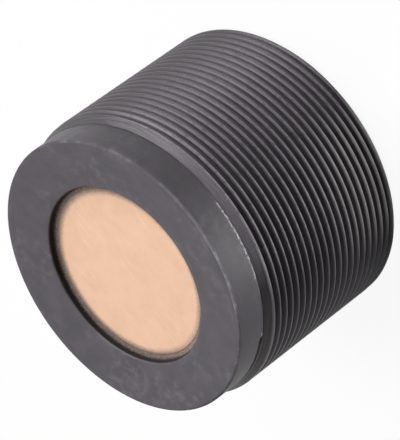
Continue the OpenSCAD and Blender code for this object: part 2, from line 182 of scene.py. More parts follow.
class Value:
    """A shader socket that does sums: each operator adds one Math node."""

    def __init__(self, finish, socket):
        self.finish, self.socket = finish, socket

    def sum(self, operation, *others, clamp=False):
        """This value and the others through one Math node."""
        node = self.finish.add("ShaderNodeMath", {"operation": operation, "use_clamp": clamp},
                               dict(enumerate((self,) + others)))
        return node(0)

    def __add__(self, other):
        return self.sum("ADD", other)

    def __sub__(self, other):
        return self.sum("SUBTRACT", other)

    def __mul__(self, other):
        return self.sum("MULTIPLY", other)

    def __truediv__(self, other):
        return self.sum("DIVIDE", other)

    def __rsub__(self, other):
        return (self * -1.0) + other

    __radd__ = __add__
    __rmul__ = __mul__

    def near(self, centre, inner, outer):
        """For an angle in radians: 1 within inner degrees of centre, falling to 0 at outer degrees."""
        away = self.sum("ADD", -math.radians(centre)).sum("ABSOLUTE")
        return 1 - away.rise(math.radians(inner), math.radians(outer))

    def band(self, low, high, soft):
        """1 between low and high, falling to 0 over soft outside them."""
        return self.rise(low - soft, low) * (1 - self.rise(high, high + soft))

    def rise(self, low, high):
        """0 below low, 1 above high, smooth between."""
        node = self.finish.add("ShaderNodeMapRange", {"interpolation_type": "SMOOTHSTEP"},
                               {"Value": self, "From Min": low, "From Max": high})
        return node("Result")


class Graph:
    """A node tree under construction."""

    def __init__(self, owner):
        owner.use_nodes = True
        self.tree = owner.node_tree
        self.tree.nodes.clear()
        self.place = None

    def add(self, kind, settings=None, inputs=None):
        """Adds one node: its settings first, then the values or links of its sockets. Gives a function
        that takes the name or number of an output."""
        node = self.tree.nodes.new(kind)
        for key, value in (settings or {}).items():
            setattr(node, key, value)
        for key, value in (inputs or {}).items():
            socket = node.inputs[key]
            if isinstance(value, Value):
                self.tree.links.new(value.socket, socket)
            elif socket.type == "RGBA" and len(value) == 3:
                socket.default_value = (*value, 1)
            else:
                socket.default_value = value
        return lambda key: Value(self, node.outputs[key])


class Finish(Graph):
    """A material under construction."""

    def __init__(self, name):
        self.material = bpy.data.materials.new(name)
        super().__init__(self.material)

    def mm(self):
        """Place on the piece, in millimetres."""
        if self.place is None:
            coords = self.add("ShaderNodeTexCoord")("Object")
            in_mm = {"Vector": coords, "Scale": (1 / MM,) * 3}
            self.place = self.add("ShaderNodeMapping", None, in_mm)("Vector")
        return self.place

    def axes(self):
        """X, Y and Z of the place, in millimetres."""
        split = self.add("ShaderNodeSeparateXYZ", None, {"Vector": self.mm()})
        return split("X"), split("Y"), split("Z")

    def polar(self):
        """Distance from the axis in millimetres, angle about it in radians, and height."""
        x, y, z = self.axes()
        radius = (x * x + y * y).sum("SQRT")
        return radius, y.sum("ARCTAN2", x), z

    def stretched(self, scale, turn):
        """The place with each axis scaled, after a turn about Z."""
        return self.add("ShaderNodeMapping", None,
                        {"Vector": self.mm(), "Scale": scale, "Rotation": (0, 0, turn)})("Vector")

    def joined(self, x, y, z):
        """A vector of three values."""
        return self.add("ShaderNodeCombineXYZ", None, {"X": x, "Y": y, "Z": z})("Vector")

    def noise(self, size, detail, roughness=0.5, vector=None):
        """Soft noise about 0.5, with features of about size millimetres."""
        return self.add("ShaderNodeTexNoise", None,
                        {"Vector": vector or self.mm(), "Scale": 1 / size, "Detail": detail,
                         "Roughness": roughness})("Fac")

    def cells(self, size):
        """Distance to the nearest of scattered points, about size millimetres apart."""
        return self.add("ShaderNodeTexVoronoi", None, {"Vector": self.mm(), "Scale": 1 / size})("Distance")

    def mix(self, factor, first, second):
        """Two colours mixed, second at factor 1."""
        return self.add("ShaderNodeMix", {"data_type": "RGBA"},
                        {"Factor": factor, 6: first, 7: second})(2)

    def clouded(self, share, colour, dark, light):
        """A colour scaled by dark where share is 0 and by light where it is 1."""
        return self.mix(share, scaled(colour, dark), scaled(colour, light))

    def coats(self, body, *coats):
        """A colour under coats of paint, wear or dust: each coat is a share from 0 to 1 and a colour."""
        for share, colour in coats:
            body = self.mix(share, body, colour)
        return body

    def shine(self, base, roughness, height, relief, **constant):
        """Ends the material: one Principled shader, with a bump of height times relief millimetres."""
        inputs = {"Base Color": base, "Roughness": roughness}
        bump = {"Height": height, "Distance": relief * MM, "Strength": 1.0}
        inputs["Normal"] = self.add("ShaderNodeBump", None, bump)("Normal")
        inputs.update({key.replace("_", " "): value for key, value in constant.items()})
        shader = self.add("ShaderNodeBsdfPrincipled", None, inputs)("BSDF")
        self.add("ShaderNodeOutputMaterial", None, {"Surface": shader})
        return self.material


def scaled(colour, share):
    """A colour made lighter or darker."""
    return tuple(min(1.0, c * share) for c in colour)


# Finishes. Masks run from 0 to 1. Places in them are millimetres, and angles about Z are degrees from +X:
# the photograph looks at the -Y side, with +X at its upper left.

STREAK_TURN = math.radians(13)
TURNED_LINE_MM = 0.64


class Tone:
    """Tones that wear leaves on the parts that show, and tones of painted highlight, painted light and
    painted shade.
    """

    first_turns_highlight = srgb(150, 145, 150)
    rear_crest_highlight = srgb(176, 174, 172)
    rear_rim_highlight = srgb(176, 173, 168)
    groove_light_tone = srgb(131, 124, 133)
    groove_shade_near_rear = srgb(20, 18, 19)
    groove_flat_light = srgb(164, 157, 166)
    grainy_cone_light = srgb(146, 141, 147)
    cone_shade = srgb(40, 34, 34)
    land_light = srgb(150, 138, 134)
    patch = srgb(98, 95, 99)
    scuff = srgb(92, 89, 94)
    # Painted highlights on the ring's front edge
    edge = srgb(104, 100, 106)
    lit_edge = srgb(160, 156, 162)
    notch_corner_glint = srgb(170, 166, 170)
    rear_edge_glint = srgb(220, 218, 222)
    # Painted light inside the notch
    inside = srgb(120, 112, 112)
    streak = srgb(246, 208, 178)
    pale_foam = srgb(176, 150, 134)


def sleeve_finish(name):
    """Moulded plastic with a thread. The crests are lighter from wear and a painted highlight, most on the -Y
    side, with more painted highlight on the first turns, and on the crests and the rear rim near the rear, a
    little round from -Y towards -X. The groove is painted dark as shade, darker still near the rear, with
    painted light towards +X and a painted grey fill light between +X and -Y that flattens the thread there.
    The front cone has turned grain, a grainy painted light at -Y, painted shade at +X and at -X, and painted
    light on its top face at -X."""
    colours = bpy.context.scene.sensor.colours
    f = Finish(name)
    radius, angle, z = f.polar()
    cloud = f.noise(2.6, 3)
    grain = f.noise(0.16, 2)
    cone = z.rise(30.95, 31.1)
    turned = f.noise(1, 3, 0.65, f.joined(angle * 5.0, z * 3.6, 0.0))
    # Mask of the groove, which carries painted shade
    groove = (1 - radius.rise(24.2, 24.68)) * (1 - cone)
    crest = radius.rise(24.6, 24.93) * (1 - cone)
    # Lighter crests: wear and painted highlight, strongest a little round from -Y towards +X
    wear_and_highlight = crest * f.noise(0.7, 3).rise(0.2, 0.5) * (angle.near(-78, 32, 54) * 0.75 + 0.1)
    # Side where the crests and the rear rim carry a painted highlight near the rear
    rear_highlight_side = angle.near(-114, 12, 32)
    rear = (1 - z.rise(1.0, 20.0)) * rear_highlight_side
    rim = (1 - z.rise(0.5, 1.4)) * rear_highlight_side
    # +X, where the cone carries painted shade
    upper = angle.near(0, 8, 40)
    # Painted light in the groove towards +X, weaker right at +X
    groove_light_side = angle.near(0, 45, 110) * (1 - upper * 0.5)
    # Painted fill light that flattens the thread between +X and -Y, weaker near the front
    flat_light = angle.near(-26, 22, 37) * (1 - z.rise(26.0, 29.5) * 0.7)
    # Painted light on the cone at -Y, broken by grain
    grainy_cone_light = angle.near(-87, 20, 42) * cone
    # Painted light on the sleeve's top face at -X, where the notch shades it
    land_light = z.rise(32.16, 32.24) * (1 - angle.near(0, 146, 152))
    body = f.coats(
        f.clouded(cloud, colours.sleeve, 0.86, 1.14),
        (turned.rise(0.4, 0.62) * cone * 0.55, colours.crest),
        # Lighter crests: wear and painted highlight
        (wear_and_highlight, colours.crest),
        # Painted highlight on the first turns
        (wear_and_highlight * z.rise(27.0, 30.2) * (grain * 0.8 + 0.1), Tone.first_turns_highlight),
        # Painted highlight on the crests and the rear rim near the rear
        (rear * radius.rise(24.65, 24.88) * (grain * 0.4 + 0.5), Tone.rear_crest_highlight),
        (rim * 0.9, Tone.rear_rim_highlight),
        # Painted shade in the groove, with painted light towards +X
        (groove, f.mix(groove_light_side, colours.groove, Tone.groove_light_tone)),
        # More painted shade in the groove near the rear
        (groove * rear * 0.6, Tone.groove_shade_near_rear),
        # Painted fill light in the groove and less highlight on the crests, between +X and -Y
        (groove * flat_light * 0.65, Tone.groove_flat_light),
        (crest * flat_light * 0.3, colours.sleeve),
        # Painted light on the cone at -Y, broken by grain
        (grainy_cone_light * (grain * 0.6 + 0.06), Tone.grainy_cone_light),
        # Painted shade on the cone at +X
        (upper * cone * 0.8, scaled(colours.sleeve, 0.5)),
        # Painted shade on the cone at -X
        ((1 - angle.near(0, 112, 130)) * cone * 0.7, Tone.cone_shade),
        # Painted light on the sleeve's top face at -X
        (land_light, Tone.land_light))
    rough = 0.36 + grain * 0.1 - cone * 0.08 + turned * cone * 0.2
    return f.shine(body, rough, grain * 0.4 + turned * cone * 1.6, 0.03)


def ring_finish(name):
    """Moulded plastic with clouds and small scuffs. A broken painted highlight follows its front edge, most
    on the
    -Y side, a painted glint marks one end of the notch, and a broken painted highlight marks its rear edge
    near
    -Y. The wall carries painted shade between -Y and +X and at -X, and the notch carries painted light
    inside."""
    colours = bpy.context.scene.sensor.colours
    joint = SLEEVE_BOX[1][2]
    f = Finish(name)
    radius, angle, z = f.polar()
    cloud = f.noise(3.4, 4, 0.6).rise(0.32, 0.68)
    patch = f.noise(1.7, 4, 0.6).rise(0.46, 0.7)
    region = f.noise(8, 2).rise(0.42, 0.58)
    grain = f.noise(0.12, 2)
    scuff = f.noise(1, 2, 0.5, f.joined(angle * 3.0, z * 2.2, radius * 2.2)).rise(0.6, 0.72)
    wall = radius.rise(23.9, 24.0) * (1 - z.rise(37.0, 37.5))
    shade = angle.near(-52, 14, 36) * 0.3 + (1 - angle.near(0, 140, 170)) * 0.46
    # Front edge, where a broken painted highlight runs
    edge = z.rise(37.62, 37.72) * radius.rise(23.68, 23.78)
    broken = f.noise(1, 3, 0.6, f.joined(angle * 9.0, z * 0.5, 0.0)).rise(0.45, 0.65)
    lower = angle.near(-118, 34.4, 57.3)
    upper = angle.near(-52, 28.6, 43)
    lit = angle.near(-110, 12.6, 24.1)
    # Painted glint at one end of the notch
    notch_corner_glint = angle.near(-145.6, 0.69, 1.26) * z.band(32.3, 32.7, 0.1)
    rear_edge_glint = f.noise(1, 3, 0.7, f.joined(angle * 34.0, z * 3.0, 0.0)).rise(0.46, 0.6)
    rear_edge = z.band(joint + 0.12, joint + 0.42, 0.06) * radius.rise(24.0, 24.06)
    # Inside the notch, which takes painted light in its shadow
    inside = (1 - radius.rise(23.75, 23.9)) * z.band(joint - 0.1, joint + 0.8, 0.05)
    body = f.coats(
        f.clouded(cloud, colours.ring, 0.82, 1.18),
        (patch * region * 0.5, Tone.patch),
        (scuff * 0.2, Tone.scuff),
        (wall * shade, scaled(colours.ring, 0.5)),
        # Broken painted highlight along the front edge
        (edge * (broken * 0.15 + lower * (broken * 0.35 + 0.55)), Tone.edge),
        (edge * upper * (broken * 0.2 + 0.3), Tone.edge),
        (edge * lit * (broken * 0.5 + 0.3), Tone.lit_edge),
        (notch_corner_glint * 0.7, Tone.notch_corner_glint),
        # Broken painted highlight on the rear edge near -Y
        (rear_edge * angle.near(-105, 8.6, 24.1) * (rear_edge_glint * 0.9 + 0.05), Tone.rear_edge_glint),
        # Painted light inside the notch
        (inside, Tone.inside))
    rough = 0.38 + grain * 0.08 + cloud * 0.08 + patch * 0.05 + edge * (1 - broken) * 0.35
    return f.shine(body, rough, grain + patch * 0.5 + cloud * 0.5, 0.012)


def disc_finish(name):
    """Filled resin with fine straight streaks and a few specks. Its brown rim is fuzzy, lies a little off
    the axis and is thinner towards -X and -Y."""
    colours = bpy.context.scene.sensor.colours
    f = Finish(name)
    x, y, _ = f.axes()
    fine = f.noise(1, 2, 0.6, f.stretched((0.14, 4.2, 1.0), STREAK_TURN))
    broad = f.noise(1, 3, 0.55, f.stretched((0.26, 1.5, 1.0), STREAK_TURN))
    region = f.noise(4.2, 2).rise(0.45, 0.6)
    cloud = f.noise(3.2, 4, 0.6).rise(0.3, 0.7)
    speck = 1 - f.cells(1.7).rise(0.03, 0.09)
    grit = f.noise(0.24, 3, 0.8)
    off_x, off_y = x + 0.12, y + 0.06
    radius = (off_x * off_x + off_y * off_y).sum("SQRT")
    rim = (radius + grit * 1.4 - 0.7).rise(13.5, 14.9)
    bare = (x * -1.0).rise(11.0, 14.4) * (y * -1.0).rise(-5.0, 3.0)
    body = f.coats(
        f.clouded(cloud, colours.disc, 0.95, 1.03),
        (fine.rise(0.45, 0.75) * (1 - region) * 0.16, scaled(colours.disc, 0.92)),
        (broad.rise(0.56, 0.7) * region * 0.35, Tone.streak),
        ((1 - broad).rise(0.6, 0.74) * 0.2, scaled(colours.disc, 0.86)),
        (speck * 0.18, scaled(colours.disc, 0.8)),
        (rim * (1 - bare * 0.4), colours.disc_rim))
    return f.shine(body, 0.52 + fine * 0.1, fine + grit * 0.4, 0.006)


def foam_finish(name, colour, level=None):
    """Soft closed-cell foam. Above a level, where it covers the wall of the opening, it is painted near black
    as shade, and towards -X and -Y it is paler."""
    f = Finish(name)
    cell = f.cells(0.22)
    cloud = f.noise(0.9, 3)
    body = f.coats(
        f.clouded(cloud, colour, 0.75, 1.3),
        (cell.rise(0.25, 0.6) * 0.35, scaled(colour, 0.6)),
        (f.noise(0.3, 3, 0.8).rise(0.5, 0.6) * 0.6, scaled(colour, 2.0)))
    if level:
        x, y, z = f.axes()
        # Paler towards -X and -Y
        paler_side = (x * -1.0).rise(12.0, 14.6) * (y * -1.0).rise(-5.0, 3.0)
        # Painted shade: the foam is near black above its level, on the sheet up the wall of the opening
        dark = (z + f.noise(0.24, 3, 0.8) - 0.5).rise(level - 0.05, level + 0.5)
        body = f.coats(body, (paler_side * 0.3, Tone.pale_foam), (dark, scaled(colour, 0.06)))
    return f.shine(body, 0.86 + cloud * 0.1, cell * -1.0 + cloud * 0.5, 0.05)


def moulded_finish(name, colour, grain_mm, cloud_mm, shine, relief, depth=0.16):
    """Moulded plastic, rubber or resin with cloudy colour and fine grain."""
    f = Finish(name)
    cloud = f.noise(cloud_mm, 3)
    grain = f.noise(grain_mm, 2)
    body = f.clouded(cloud, colour, 1 - depth, 1 + depth)
    body = f.mix(grain.rise(0.55, 0.8) * 0.2, body, scaled(colour, 1.3))
    return f.shine(body, shine + grain * 0.12, grain + cloud * 0.5, relief)


def metal_finish(name, colour, shine=0.28):
    """Turned or drawn metal: fine lines round the axis, dull in patches."""
    f = Finish(name)
    radius, angle, z = f.polar()
    lines = f.noise(1, 2, 0.6, f.joined(angle * 0.6, z / TURNED_LINE_MM, radius / TURNED_LINE_MM))
    patch = f.noise(1.2, 3)
    body = f.clouded(patch, colour, 0.82, 1.1)
    body = f.mix(lines.rise(0.5, 0.8) * 0.3, body, scaled(colour, 0.7))
    return f.shine(body, shine + patch * 0.18, lines, 0.006, Metallic=1.0)


def laminate_finish(name):
    """Green circuit board: glass weave under solder mask, with paler tracks."""
    f = Finish(name)
    x, y, _ = f.axes()
    weave = (x * 14.0).sum("SINE") * (y * 14.0).sum("SINE")
    track_x = (y * 2.4 + (x * 0.35).sum("FLOOR") * 0.8).sum("SINE").rise(0.82, 0.94)
    track_y = (x * 1.9 + (y * 0.4).sum("FLOOR") * 1.3).sum("SINE").rise(0.86, 0.96)
    track = track_x.sum("ADD", track_y, clamp=True)
    body = f.mix(weave * 0.5 + 0.5, srgb(30, 84, 52), srgb(38, 98, 60))
    body = f.mix(track * 0.6, body, srgb(58, 132, 82))
    return f.shine(body, 0.36 + weave * 0.05, track + weave * 0.2, 0.03)


def wire_finish(name):
    """Lacquered copper wire."""
    f = Finish(name)
    tone = f.noise(0.5, 2)
    body = f.mix(tone, srgb(150, 72, 34), srgb(206, 120, 66))
    return f.shine(body, 0.26 + tone * 0.14, tone, 0.008, Metallic=0.85)


def clear_finish(name, colour):
    """Clear resin with a faint haze and flow lines."""
    f = Finish(name)
    haze = f.noise(0.8, 3)
    body = f.mix(haze, scaled(colour, 0.9), colour)
    return f.shine(body, 0.08 + haze * 0.12, haze, 0.01, Transmission_Weight=0.75, IOR=1.5)


# Meshes


def cells_of(rows, columns, turn_shift=0, last_shifted=0):
    """Quads of a closed tube of rows and columns. The last column joins the first one, turn_shift rows
    further on for the rows up to last_shifted, as one turn of a thread does."""
    j, i = np.meshgrid(np.arange(rows), np.arange(columns), indexing="ij")
    next_i = (i + 1) % columns
    seam = (next_i == 0) & (j < last_shifted)

    def at(row, column, across):
        """Number of a point, turn_shift rows further on across the seam."""
        shifted = np.where(across, np.minimum(row + turn_shift, last_shifted), row)
        return shifted % rows * columns + column

    quads = [at(j, i, False), at(j, next_i, seam), at(j + 1, next_i, seam), at(j + 1, i, False)]
    return np.stack([q.ravel() for q in quads], axis=1)


def outward(points, faces):
    """The faces, turned round if the closed mesh they make is inside out. Adds up the signed volumes of
    the pyramids from the origin to each quad."""
    a, b, c, d = (points[faces[:, k]] for k in range(4))
    volume = np.einsum("ij,ij->", a, np.cross(b, c)) + np.einsum("ij,ij->", a, np.cross(c, d))
    return faces if volume > 0 else faces[:, ::-1]


def revolved(radius, height, angle, centre=(0, 0)):
    """Points at a radius, height and angle about an upright axis through centre, as an array of rows."""
    x = radius * np.cos(angle) + centre[0]
    y = radius * np.sin(angle) + centre[1]
    return np.stack([x, y, np.broadcast_to(height, x.shape)], axis=-1).reshape(-1, 3)


def add_object(name, data):
    """A new object in the scene, made of its data."""
    thing = bpy.data.objects.new(name, data)
    bpy.context.scene.collection.objects.link(thing)
    return thing


def add_piece(name, shell, finish, replaces):
    """Makes one closed piece from a shell, which is its points in millimetres and its quads. Merges its
    doubles and hands it to the frame."""
    points, faces = shell
    mesh = bpy.data.meshes.new(name)
    mesh.from_pydata((points * MM).tolist(), [], outward(points, faces).tolist())
    work = bmesh.new()
    work.from_mesh(mesh)
    bmesh.ops.remove_doubles(work, verts=work.verts, dist=MERGE_MM * MM)
    bmesh.ops.dissolve_degenerate(work, edges=work.edges, dist=MERGE_MM * MM / 10)
    bmesh.ops.delete(work, geom=[e for e in work.edges if e.is_wire], context="EDGES")
    open_edges = sum(1 for e in work.edges if len(e.link_faces) != 2)
    work.to_mesh(mesh)
    work.free()
    if open_edges:
        raise RuntimeError(f"{name} has {open_edges} open edges")
    hand_over(name, mesh, finish, replaces)


def hand_over(name, mesh, finish, replaces):
    """Makes a piece of a closed mesh, hangs it on the frame's body and hides the CAD nodes that it replaces."""
    mesh.shade_smooth()
    mesh.set_sharp_from_angle(angle=SHARP_ANGLE)
    mesh.materials.append(finish)
    piece = add_object(name, mesh)
    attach(piece, BODY)
    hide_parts(*replaces)


def columns_round(count):
    """Angles of the columns in one turn."""
    return np.arange(count) / count * TURN


def arc(centre, radius, start, end, steps):
    """Points of an arc in the half section, from one angle to another in degrees."""
    a = np.radians(np.linspace(start, end, steps))
    return [(centre[0] + radius * math.cos(t), centre[1] + radius * math.sin(t)) for t in a]


def smooth(t):
    """0 below 0, 1 above 1, and a smooth step between."""
    t = np.clip(t, 0, 1)
    return t * t * (3 - 2 * t)


def soft_limit(x, width):
    """x held between 0 and 1, with both corners rounded over width by a parabola."""
    low = np.where(x < width, np.where(x > -width, (x + width) ** 2 / (4 * width), 0), x)
    y = 1 - low
    return 1 - np.where(y < width, np.where(y > -width, (y + width) ** 2 / (4 * width), 0), y)


# Profile of a thread: its depth, half its crest and the width of a flank as shares of the pitch, and the
# softness of the corners as a share of a flank. Steps are the rows in one pitch, from a crest.
THREAD_DEPTH = 0.6134
THREAD_CREST = 0.11
THREAD_FLANK = 0.32
THREAD_SOFTNESS = 0.13
THREAD_STEPS = np.array([-0.5, -0.465, -0.43, -0.39, -0.27, -0.15, -0.11, -0.07,
                         0, 0.07, 0.11, 0.15, 0.27, 0.39, 0.43, 0.465])
WIRE_STEPS = np.array([-0.5, -0.44, -0.36, -0.25, -0.12, 0, 0.12, 0.25, 0.36, 0.44])


def from_crest(turn):
    """Distance from the nearest crest, in pitches."""
    return np.abs((turn + 0.5) % 1 - 0.5)


def thread_groove(turn):
    """Depth of a metric thread as a share of full depth, at a place along the axis in pitches from a crest:
    flat on the crest, straight on the flanks, with the crest and the root rounded."""
    return soft_limit((from_crest(turn) - THREAD_CREST) / THREAD_FLANK, THREAD_SOFTNESS)


def wire_groove(turn):
    """Depth between round wires as a share of half the wire, at a place in pitches from a crest: one less
    the height of a circle, cut off just before the wires touch."""
    return 1 - np.sqrt(1 - (np.clip(from_crest(turn), 0, 0.49) * 2) ** 2)


def rows_of(section, columns):
    """Radius and height of each point of a section, as two arrays of rows."""
    return [np.array([np.broadcast_to(p[k], columns) for p in section], float) for k in (0, 1)]


def helical_shell(outer, pitch, depth, groove, ends, crest_z, rest, columns, start=0.0, front_fade=0.0,
                  steps=THREAD_STEPS, centre=(0, 0), inner=None):
    """Closed shell with a right-hand thread outside.

    A row of the grid follows the helix z = crest + pitch (turn + angle / full turn), so each edge of the
    thread is a row. Its radius is the smaller of the thread's own and the turned shape of the ends. Past
    the ends the rows lie on the end plane and merge. The last column joins the first one turn further on.
    ends is the outside turned shape as (radius, height) from low to high; rest closes the section from
    the top round to the bottom; inner adds to the radius of the rest, given angle, radius and height.
    The groove of the last turn in front deepens over the angle front_fade."""
    low, high = ends[0][1], ends[-1][1]
    first = math.floor((low - crest_z) / pitch) - 2
    last = math.ceil((high - crest_z) / pitch) + 2
    turns = np.append((np.arange(first, last)[:, None] + steps[None, :]).ravel(), last + steps[0])
    angle = columns_round(columns)[None, :]
    z = crest_z + pitch * (turns[:, None] + angle / TURN)
    z = np.clip(z, low, high)
    turn = (z - crest_z) / pitch - angle / TURN
    share = 1.0
    if front_fade:
        started = 1 - smooth(angle / front_fade)
        share = np.where(turn <= 0, 1.0, np.where(turn < 1, started, 0.0))
    radius = outer - pitch * depth * groove(turn) * share
    shape = np.interp(z, [p[1] for p in ends], [p[0] for p in ends])
    radius = np.minimum(radius, shape)
    rest_r, rest_z = rows_of(rest, columns)
    if inner is not None:
        rest_r = rest_r + inner(angle + start, rest_r, rest_z)
    points = revolved(np.vstack([radius, rest_r]), np.vstack([z, rest_z]), angle + start, centre)
    return points, cells_of(len(turns) + len(rest), columns, len(steps), len(turns) - 1)


def ring_shell(section, angle):
    """Closed ring from a half section whose points may change with the angle: each is a radius and a
    height, as numbers or as one value for each angle. Rows follow the section and columns the angle."""
    radius, height = rows_of(section, len(angle))
    return revolved(radius, height, angle[None, :]), cells_of(len(section), len(angle))


# Fixed sizes of sleeve, ring, foam, connector and winding: millimetres, degrees for the ends of the notch,
# and pitches below the top of the thread for the plug's crest. The seam of the sleeve's rows is at +Y.

SEAM = math.radians(90)
SLEEVE_WALL, REAR_WALL = 2.58, 1.88
LEAD_IN = 1.35
RUN_OUT, RUN_OUT_STEP = 0.7, 0.8
RIM_ROUND = 0.12
BORE_CHAMFER = 0.4
RING_STEP = 0.02

LIP = 3
SPIGOT_STEP, SPIGOT_BORE_STEP = 2.7, 4.7
SEAL_TOP, SEAL_LOW, SEAL_DEPTH = 1.4, 2.68, 0.9
SPIGOT_CHAMFER = 0.5
WALL_ROW_TOP, WALL_ROW_LOW = 2.5, 1.6
NOTCH_DEPTH = 0.4
NOTCH_FROM, NOTCH_TO, NOTCH_RAMP = 172.5, 214, 2

BEDDING = 0.02

PLUG_RADIUS, PLUG_BORE, INSERT_SEAT = 6.0, 4.3, 4.8
PLUG_RELIEF, PLUG_SHOULDER, TIP_CHAMFER = 1.5, 0.4, 0.5
BOSS, INSERT_DROP, SHANK_STEP = 0.5, 0.4, 0.25
FLANGE_ROUND, MOUTH_CHAMFER = 0.15, 0.2
KEY_DEPTH, KEY_HALF_WIDTH, KEY_SLOPE = 0.5, 0.75, 0.25
KEY_FULL, KEY_MIDDLE, KEY_END = 0.7, 0.6, 0.5
BORE_LEAD, BORE_OPENS = 0.25, 0.15
PLUG_CREST = 1.1
CORE_POST = 1.65


# Operators, one for each piece or group of pieces


class SENSOR_OT_sleeve(bpy.types.Operator):
    """Sleeve with its real thread, its front cone and its rear chamfer"""

    bl_idname = "sensor.sleeve"
    bl_label = "Threaded sleeve"

    def execute(self, context):
        sizes = context.scene.sensor.sleeve
        outer, top = SLEEVE_BOX[1][0], SLEEVE_BOX[1][2]
        root = outer - sizes.pitch * THREAD_DEPTH
        front, rear_bore, bore = root + RING_STEP, root - REAR_WALL, root - SLEEVE_WALL
        seat = COVER_BOX[1][2]
        ends = [(outer - RUN_OUT_STEP, 0.0), (outer, RUN_OUT), (outer, top - LEAD_IN), (front, top)]
        rest = arc((front - RIM_ROUND, top - RIM_ROUND), RIM_ROUND, 60, 90, 3)[1:]
        rest += [(bore + BORE_CHAMFER, top), (bore, top - BORE_CHAMFER), (bore, seat), (rear_bore, seat),
                 (rear_bore, BORE_CHAMFER), (rear_bore + BORE_CHAMFER, 0.0)]
        # crest_z is a height at -Y, half a turn past the seam
        shell = helical_shell(outer, sizes.pitch, THREAD_DEPTH, thread_groove, ends,
                              sizes.crest_z - sizes.pitch / 2, rest, sizes.columns,
                              start=SEAM, front_fade=sizes.fade)
        add_piece("sleeve_thread", shell, sleeve_finish("sleeve_plastic"),
                  ["threaded_sleeve"])
        return {"FINISHED"}


class SENSOR_OT_ring(bpy.types.Operator):
    """Front ring with its rounded edges, its notch and the spigot behind it"""

    bl_idname = "sensor.ring"
    bl_label = "Front ring"

    def execute(self, context):
        sizes = context.scene.sensor.ring
        top, spigot_z = RING_BOX[1][2], RING_BOX[0][2]
        outer, joint = RING_BOX[1][0], SLEEVE_BOX[1][2]
        lip = top - LIP
        spigot, inside = outer - SPIGOT_STEP, outer - SPIGOT_BORE_STEP
        groove_top, groove_low, groove_r = joint - SEAL_TOP, joint - SEAL_LOW, spigot - SEAL_DEPTH
        notch_r = outer - NOTCH_DEPTH
        angle = columns_round(sizes.columns)
        turned = np.degrees(angle)
        notch = smooth((turned - NOTCH_FROM) / NOTCH_RAMP) * smooth((NOTCH_TO - turned) / NOTCH_RAMP)
        rear = joint + sizes.notch * notch
        rim = outer - sizes.edge
        slope = sizes.dish / (rim - sizes.opening)
        inner = sizes.opening + sizes.opening_edge
        middle = top - sizes.dish + sizes.opening_edge * (slope - math.hypot(1, slope))
        dish = [(r, top - (rim - r) * slope) for r in np.linspace(inner, rim, 10)[1:-1]]
        section = [(sizes.opening, lip)]
        section += arc((inner, middle), sizes.opening_edge, 180, 90 + math.degrees(math.atan(slope)), 5)
        section += dish
        section += arc((rim, top - sizes.edge), sizes.edge, 90, 0, 7)
        section += [(outer, top - WALL_ROW_TOP), (outer, joint + WALL_ROW_LOW)]
        section += [(r, z + rear) for r, z in
                    arc((outer - sizes.rear_edge, sizes.rear_edge), sizes.rear_edge, 0, -90, 4)]
        section += [(notch_r, rear), (notch_r, joint), (spigot, joint)]
        section += [(spigot, groove_top), (groove_r, groove_top), (groove_r, groove_low),
                    (spigot, groove_low), (spigot, spigot_z + SPIGOT_CHAMFER),
                    (spigot - SPIGOT_CHAMFER, spigot_z), (inside, spigot_z), (inside, lip)]
        add_piece("front_collar", ring_shell(section, angle), ring_finish("ring_plastic"),
                  ["front_ring"])
        return {"FINISHED"}


class SENSOR_OT_face(bpy.types.Operator):
    """Tan matching disc and the foam ring round it"""

    bl_idname = "sensor.face"
    bl_label = "Sensing face"

    def execute(self, context):
        sizes = context.scene.sensor.face
        colours = context.scene.sensor.colours
        angle = columns_round(sizes.columns)
        radius, low, top = DISC_BOX[1][0], DISC_BOX[0][2], DISC_BOX[1][2]
        edge = arc((radius - sizes.edge, top - sizes.edge), sizes.edge, 90, 0, 6)
        section = [(0.0, top)] + [(r, top) for r in np.linspace(2, radius - 1.2, 6)] + edge
        section += [(radius, low), (radius / 2, low), (0.0, low)]
        add_piece("matching_disc", ring_shell(section, angle), disc_finish("matching_resin"),
                  ["face_disc"])

        level = top - sizes.foam_drop
        section = self.foam_section(angle, context.scene.sensor.ring.opening - BEDDING, radius + BEDDING,
                                    sizes.shade_sheet_top, level)
        add_piece("decoupling_ring", ring_shell(section, angle), foam_finish("foam", colours.foam, level),
                  ["decoupling_foam"])
        return {"FINISHED"}

    def foam_section(self, angle, wall, inner, shade_sheet_top, level):
        """Half section of the foam: a thin sheet, painted dark as shade, up the wall of the opening to its
        top, and a
            hollow down to its level beside the disc. The sheet's height wavers by the sum of three sines."""
        body, bottom, lip = FOAM_BOX[1][0], FOAM_BOX[0][2], RING_BOX[1][2] - LIP
        wobble = 0.03 * np.sin(7 * angle + 0.4) + 0.02 * np.sin(19 * angle + 1.1) + 0.015 * np.sin(43 * angle)
        # The sheet up the wall, which carries painted shade
        skin = [(wall - 0.05, shade_sheet_top - 0.04 + wobble), (wall - 0.1, shade_sheet_top - 0.3 + wobble),
                (wall - 0.14, level + 0.3 + wobble), (wall - 0.28, level + 0.12 + wobble),
                (wall - 0.5, level + 0.03 - wobble / 2)]
        beside_disc = [(inner + 0.1, level), (inner, level - 0.02), (inner, level - 0.12)]
        return ([(body, bottom), (body, lip), (wall, lip), (wall, shade_sheet_top)] + skin + beside_disc
                + [(inner, lip), (inner, bottom)])


